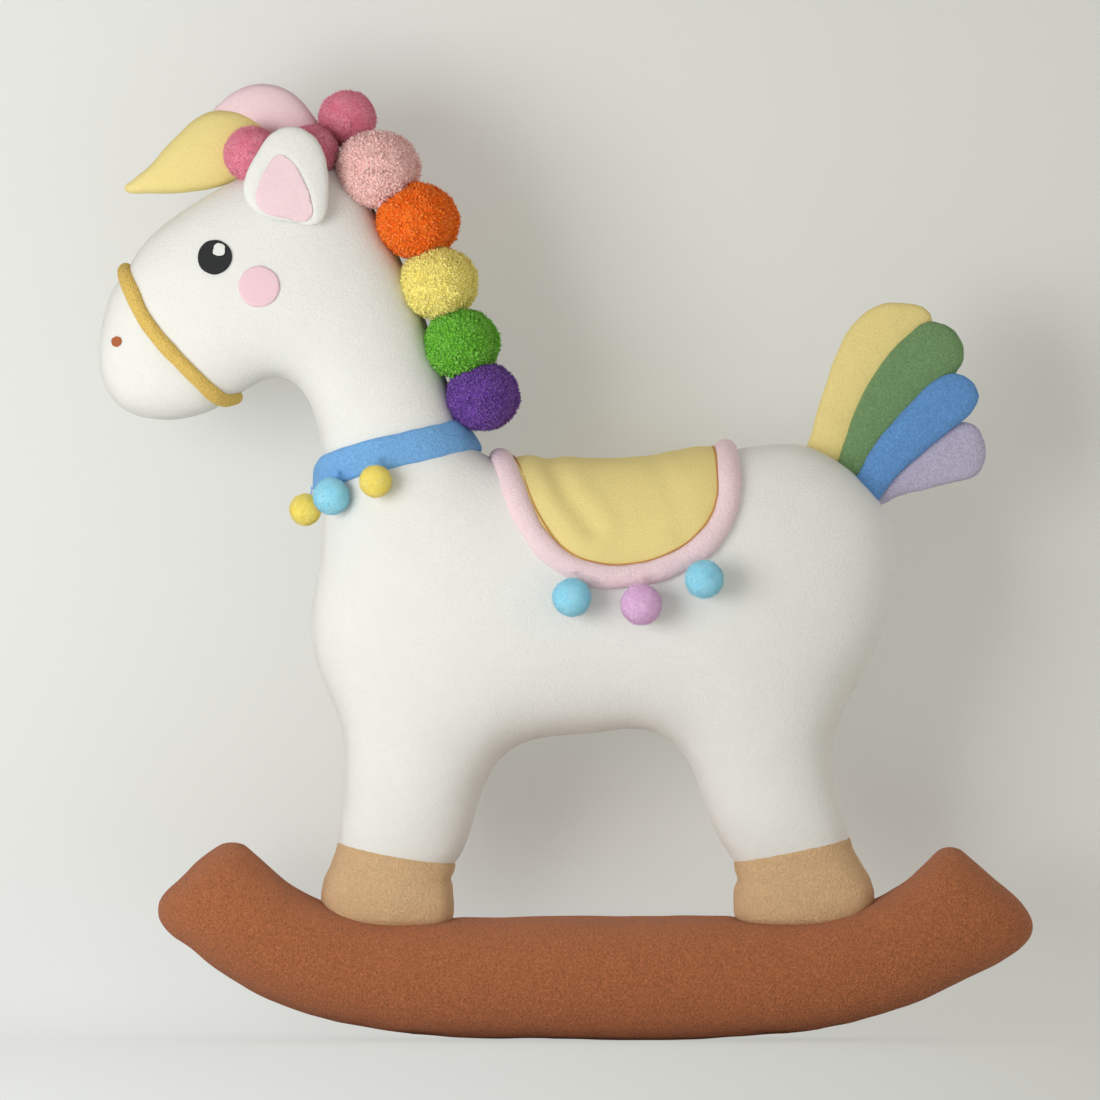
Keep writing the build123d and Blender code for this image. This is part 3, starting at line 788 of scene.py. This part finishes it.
def ear_pieces(name):
    """One ear and its lining, standing up on its foot at the origin, its lined face outwards."""
    ear = sewn(f"{name}_ear", EAR_OUTLINE, cell=2.5, fullness=0.9, power=0.75, voxel=1.8)
    relaxed(ear, 3)
    places = points_of(ear.data)
    hollow = inside_outline(places, LINING_OUTLINE) & (places[:, 1] < 0)
    edge = distance_to_line(places, LINING_OUTLINE + LINING_OUTLINE[:1])
    depth = np.where(hollow, np.minimum(1, edge / 6), 0) * 2.0
    groove = np.where(places[:, 1] < 0, np.exp(-((edge / 2.2) ** 2)), 0) * 1.2
    places[:, 1] += (depth + groove) * MM
    move_points(ear.data, places)
    face = BVHTree.FromPolygons([Vector(p) for p in places], [tuple(p.vertices) for p in ear.data.polygons])
    bm = flat_panel(LINING_OUTLINE)
    for axis in (0, 2):
        cut_across(bm, axis, np.arange(-40, 60, 2.5) * MM)
    for vert in bm.verts:
        hit = face.ray_cast(Vector((vert.co.x, -0.2, vert.co.z)), Vector((0, 1, 0)))[0]
        vert.co.y = hit.y - 0.9 * MM
    bmesh.ops.recalc_face_normals(bm, faces=bm.faces)
    bmesh.ops.solidify(bm, geom=bm.faces[:], thickness=0.0014)
    lining = new_object(f"{name}_ear_lining", bm)
    return ear, lining


for side, name in ((-1, "left"), (1, "right")):
    ear, lining = ear_pieces(name)
    foot = Matrix.Translation(Vector((EAR_BASE[0], -EAR_OUT, EAR_BASE[1])) * MM)
    stand = foot @ Matrix.Rotation(math.radians(-EAR_LEAN), 4, "X")
    flip = Matrix.Scale(-1, 4, (0, 1, 0)) if side > 0 else Matrix.Identity(4)
    for piece in (ear, lining):
        piece.data.transform(flip @ stand)
        if side > 0:
            piece.data.flip_normals()
    dressed(ear, white_fleece, f"{name}_ear", [f"{name}_ear"])
    replaced = [f"{name}_ear_lining"]
    dressed(lining, pink_fleece, f"{name}_ear", replaced, rounds=0)


# The tail is a fan of four stuffed fleece petals sewn to the rump along one line: yellow uppermost,
# then green, blue and lilac. Yellow is tucked under green, and green and lilac under blue.
TAIL_PETALS = [
    ("tail_yellow", YELLOW, "pale_yellow_fleece", 6, [
        (163, 458), (166, 470), (172, 492), (182, 523), (191, 545), (202, 561), (218, 573), (238, 575),
        (254, 572), (262, 563), (256, 548), (238, 525), (220, 498), (206, 468), (196, 440), (182, 440),
    ]),
    ("tail_green", linear(129, 166, 116), "tail_green_fleece", -1, [
        (184, 440), (189, 455), (199, 487), (211, 512), (226, 534), (242, 550), (257, 560), (272, 558),
        (283, 548), (287, 534), (280, 520), (262, 502), (240, 480), (224, 458), (213, 432), (198, 430),
    ]),
    ("tail_lilac", linear(206, 199, 227), "tail_lilac_fleece", -1, [
        (206, 425), (218, 440), (240, 456), (262, 472), (280, 482), (294, 480), (302, 468), (303, 452),
        (296, 440), (276, 434), (254, 428), (236, 424), (222, 417), (210, 415),
    ]),
    ("tail_blue", linear(113, 168, 234), "blue_fleece", -8, [
        (196, 430), (204, 443), (213, 460), (226, 477), (244, 497), (262, 514), (278, 520), (291, 515),
        (298, 502), (292, 489), (274, 474), (256, 459), (240, 445), (226, 430), (216, 418), (203, 417),
    ]),
]
for name, tone, slot, layer, outline in TAIL_PETALS:
    petal = sewn(name, outline, cell=2.5, fullness=0.95, power=0.75, voxel=2)
    relaxed(petal, 2)
    places, outward = points_of(petal.data), normals_of(petal.data)
    for index, place in enumerate(places):
        places[index] += outward[index] * noise.noise(Vector(place) * 60) * 0.7 * MM
    places[:, 1] += layer * MM
    move_points(petal.data, places)
    # Yellow gets less painted shade between its clumps and less painted highlight on its tips.
    relief_shade_and_highlight, raised = (0.05, 0.45) if tone is YELLOW else (0.17, 0.9)
    cloth = fleece(f"{name} fleece", tone, relief_shade_and_highlight, clump=1.7, raised=raised, sheen=0.3)
    dressed(petal, cloth, "tail", [name])


# Small felt-like pompoms hang on one stitch each: three under the binding of each saddle flap and
# five round the collar. A thread loop at the top of each turns on its stitch.
small_pile = pile_ball(
    0.97,
    [("fibre", 3000, 0.022, 0.058, 0.97, 0.012, 0.5), ("fibre", 450, 0.011, 0.065, 1.0, 0.012, 0.35)],
    lumps=0.03,
    seed=22,
)
SMALL_TONES = {
    "sky_pile": linear(166, 234, 255),
    "yellow_pile": linear(255, 237, 118),
    "lilac_pile": linear(239, 197, 237),
}
# The pile's colour carries painted shade at the roots and a painted highlight on the fibre tips.
PILE_LOOK = {"sheen": 1.0, "depth": 1.0, "tip_highlight": 0.4, "fleck": 0.93, "raised": 0.15, "grain": 1.3}
piles = {slot: yarn(slot.replace("_", " "), tone, **PILE_LOOK) for slot, tone in SMALL_TONES.items()}
THREAD_PINK = linear(247, 219, 225)
THREADS = {
    "saddle": matt("saddle stitch thread", THREAD_PINK, 0.1)[0],
    "collar": matt("collar stitch thread", BLUE, 0.1)[0],
}
HANGING = [
    ("collar_pompom_left_side", (-171.5, -78, 435), 12.5, 270, "yellow_pile"),
    ("collar_pompom_left_front", (-206, -57, 423.5), 14.2, 225, "sky_pile"),
    ("collar_pompom_middle", (-227.5, 0, 413.5), 12.5, 180, "yellow_pile"),
    ("collar_pompom_right_front", (-206, 57, 423.5), 14.2, 135, "sky_pile"),
    ("collar_pompom_right_side", (-171.5, 78, 435), 12.5, 90, "yellow_pile"),
]
SADDLE_POMPOMS = [
    ("front", -20, 345.5, 14.8, "sky_pile"),
    ("middle", 33.5, 340, 15.8, "lilac_pile"),
    ("rear", 82, 359.5, 14.8, "sky_pile"),
]
SADDLE_POMPOM_OUT = 103
for side, sign in (("left", -1), ("right", 1)):
    for place, x, z, radius, slot in SADDLE_POMPOMS:
        centre = (x, sign * SADDLE_POMPOM_OUT, z)
        HANGING.append((f"saddle_pompom_{side}_{place}", centre, radius, sign * 90, slot))
HANGING_LENGTH, LOOP_INWARD, LOOP_RADIUS, LOOP_THREAD = 4, 5, 1.5, 0.45
STEM_RADIUS, PIN_LENGTH, PIN_INWARD = 0.5, 7, 2.4
pins = {name: bmesh.new() for name in THREADS}
for number, (name, centre, radius, facing, slot) in enumerate(HANGING):
    pompom = joined_copies(name, small_pile, [(centre, radius)], 50 + number)
    dressed(pompom, piles[slot], name, [name], rounds=0)
    out = Vector((math.cos(math.radians(facing)), math.sin(math.radians(facing)), 0))
    pivot = Vector(centre) + Vector((0, 0, radius + HANGING_LENGTH)) - out * LOOP_INWARD
    bm = bmesh.new()
    run = pivot - Vector((0, 0, 2)) - Vector(centre)
    lie = run.to_track_quat("Z", "Y").to_matrix().to_4x4()
    lie = Matrix.Translation((Vector(centre) + run / 2) * MM) @ lie
    stem = {"radius1": STEM_RADIUS * MM, "radius2": STEM_RADIUS * MM, "depth": run.length * MM}
    bmesh.ops.create_cone(bm, cap_ends=True, segments=8, matrix=lie, **stem)
    eye = []
    for step in range(8):
        angle = step * math.tau / 8
        spot = pivot + Vector((0, 0, LOOP_RADIUS)) + out * LOOP_THREAD * math.cos(angle)
        eye.append(bm.verts.new((spot + Vector((0, 0, LOOP_THREAD * math.sin(angle)))) * MM))
    ring = [bm.edges.new((eye[index - 1], eye[index])) for index in range(8)]
    bmesh.ops.spin(bm, geom=eye + ring, cent=pivot * MM, axis=out, angle=math.tau, steps=16, use_merge=True)
    group = name.split("_")[0]
    dressed(new_object(f"{name}_thread", bm), THREADS[group], name, rounds=0)
    lie = out.to_track_quat("Z", "Y").to_matrix().to_4x4()
    lie = Matrix.Translation((pivot - out * PIN_INWARD) * MM) @ lie
    pin = {"radius1": 0.6 * MM, "radius2": 0.4 * MM, "depth": PIN_LENGTH * MM}
    bmesh.ops.create_cone(pins[group], cap_ends=True, segments=8, matrix=lie, **pin)
for name, thread in THREADS.items():
    stitches = new_object(f"{name}_stitches", pins[name])
    dressed(stitches, thread, "horse", [f"{name}_stitches"], rounds=0)


# The stage is a pale grey floor that sweeps up into a wall close behind the horse, as in the photo.
# The wall is seen from the front only, and lets light through, so the other sides can be looked at.
def paper():
    """Pale paper; the camera sees part of its tone as even, so that shadows on it stay light. That even
    part carries painted shade: it grows darker from left to right, as light falling off from the key would.
    """
    material = bpy.data.materials.new("paper")
    material.use_nodes = True
    tree = material.node_tree
    shader = tree.nodes["Principled BSDF"]
    shader.inputs["Base Color"].default_value = linear(234, 235, 232)
    shader.inputs["Roughness"].default_value = 1.0
    shader.inputs["Specular IOR Level"].default_value = 0.0
    apart = tree.nodes.new("ShaderNodeSeparateXYZ")
    tree.links.new(tree.nodes.new("ShaderNodeTexCoord").outputs["Object"], apart.inputs[0])
    even = tree.nodes.new("ShaderNodeEmission")
    # Painted shade: the even tone darkens from left to right across the paper.
    across = spread(tree, apart.outputs["X"], -0.42, 0.38)
    tree.links.new(mixed(tree, across, linear(231, 233, 230), linear(197, 197, 190)), even.inputs["Color"])
    clear = tree.nodes.new("ShaderNodeBsdfTransparent")
    ray, side = tree.nodes.new("ShaderNodeLightPath"), tree.nodes.new("ShaderNodeNewGeometry")
    fade = node(tree, "MapRange", From_Min=0.03, From_Max=0.2, To_Min=0.78, To_Max=0.25)
    fade.interpolation_type = "SMOOTHSTEP"
    tree.links.new(apart.outputs["Z"], fade.inputs["Value"])
    share = node(tree, "Math")
    share.operation = "MULTIPLY"
    tree.links.new(fade.outputs["Result"], share.inputs[1])
    seen, through = tree.nodes.new("ShaderNodeMixShader"), tree.nodes.new("ShaderNodeMixShader")
    tree.links.new(ray.outputs["Is Camera Ray"], share.inputs[0])
    tree.links.new(share.outputs[0], seen.inputs["Fac"])
    tree.links.new(shader.outputs["BSDF"], seen.inputs[1])
    tree.links.new(even.outputs["Emission"], seen.inputs[2])
    tree.links.new(side.outputs["Backfacing"], through.inputs["Fac"])
    tree.links.new(seen.outputs["Shader"], through.inputs[1])
    tree.links.new(clear.outputs["BSDF"], through.inputs[2])
    tree.links.new(through.outputs["Shader"], tree.nodes["Material Output"].inputs["Surface"])
    return material


def paper_sheet(name, profile, material):
    """A wide sheet of paper along a side profile of (y, z) points, its face towards the horse."""
    rows = [[Vector((x, y, z)) for x in (-6, 6)] for y, z in profile]
    bm = bmesh.new()
    bmesh.ops.create_grid(bm, x_segments=1, y_segments=len(rows) - 1, size=1)
    bm.verts.ensure_lookup_table()
    for row, pair in enumerate(rows):
        for column, place in enumerate(pair):
            bm.verts[row * 2 + column].co = place
    mesh = bpy.data.meshes.new(name)
    bm.to_mesh(mesh)
    bm.free()
    obj = bpy.data.objects.new(name, mesh)
    scene.collection.objects.link(obj)
    mesh.materials.append(material)
    mesh.polygons.foreach_set("use_smooth", [True] * len(mesh.polygons))
    return obj


WALL_Y, COVE = 0.13, 0.055
pale_paper = paper()
floor = paper_sheet("floor", [(-6, 0), (WALL_Y - COVE, 0)], pale_paper)
far_floor = paper_sheet("far_floor", [(WALL_Y - COVE, -0.0005), (8, -0.0005)], pale_paper)
turns = np.linspace(0, math.pi / 2, 17)
bend = [(WALL_Y - COVE + COVE * math.sin(a), COVE - COVE * math.cos(a)) for a in turns]
wall = paper_sheet("wall", bend + [(WALL_Y, 4)], pale_paper)
wall.visible_shadow = wall.visible_diffuse = wall.visible_glossy = False


def softbox(name, place, aim, size, power, colour=(1, 1, 1)):
    """A square soft lamp at a place, turned towards an aim."""
    lamp = bpy.data.lights.new(name, "AREA")
    lamp.shape = "SQUARE"
    lamp.size = size
    lamp.energy = power
    lamp.color = colour
    obj = bpy.data.objects.new(name, lamp)
    obj.location = place
    obj.rotation_euler = (Vector(aim) - Vector(place)).to_track_quat("-Z", "Y").to_euler()
    scene.collection.objects.link(obj)


softbox("key", (-1.15, -1.45, 0.44), (-0.08, 0, 0.37), 1.0, 18.3, (0.99, 1, 1))
softbox("side_fill", (1.5, -0.9, 0.45), (0.25, 0, 0.35), 1.0, 2.5, (1, 0.96, 0.9))
softbox("back_fill", (0.9, 2.4, 1.5), (0, 0, 0.35), 1.6, 8)
world = bpy.data.worlds.new("soft room")
world.use_nodes = True
world.node_tree.nodes["Background"].inputs["Color"].default_value = linear(255, 252, 243)
world.node_tree.nodes["Background"].inputs["Strength"].default_value = 0.46
scene.world = world
scene.view_settings.view_transform = "Standard"

camera = bpy.data.objects.new("camera", bpy.data.cameras.new("camera"))
scene.collection.objects.link(camera)
AIM, DISTANCE, FIELD = (-0.0367, 0.382), 8.0, 0.858
camera.location = (AIM[0], -DISTANCE, AIM[1])
camera.rotation_euler = (math.pi / 2, 0, 0)
camera.data.sensor_width = 36
camera.data.lens = 36 * DISTANCE / FIELD
scene.camera = camera

bpy.context.view_layer.update()
